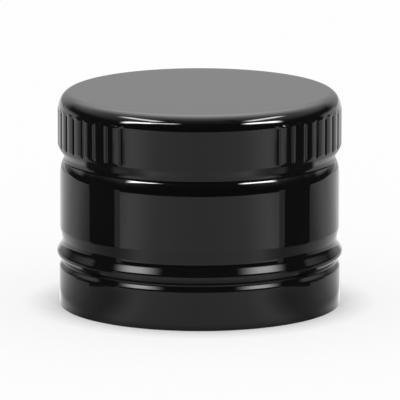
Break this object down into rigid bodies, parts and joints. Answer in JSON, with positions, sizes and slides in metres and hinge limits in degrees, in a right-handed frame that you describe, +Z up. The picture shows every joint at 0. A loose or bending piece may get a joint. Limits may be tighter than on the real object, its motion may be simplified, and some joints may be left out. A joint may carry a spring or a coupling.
{
  "type": "bottle cap",
  "caption": "Round drawn-metal roll-on bottle cap with a knurled head, waisted neck, plain thread wall, bead, straight skirt and a soft liner inside.",
  "frame": {"origin": "middle of the open rim, on the plane that the cap stands on", "axes": "+Z up the axis to the top panel, -Y through the middle of the plain panel that the picture shows"},
  "size_m": [0.032, 0.032, 0.024],
  "materials": {
    "lacquered_shell": "gloss",
    "liner_foam": "matte"
  },
  "bodies": {
    "root": {"shell": "lacquered_shell", "liner": "liner_foam"}
  },
  "joints": []
}
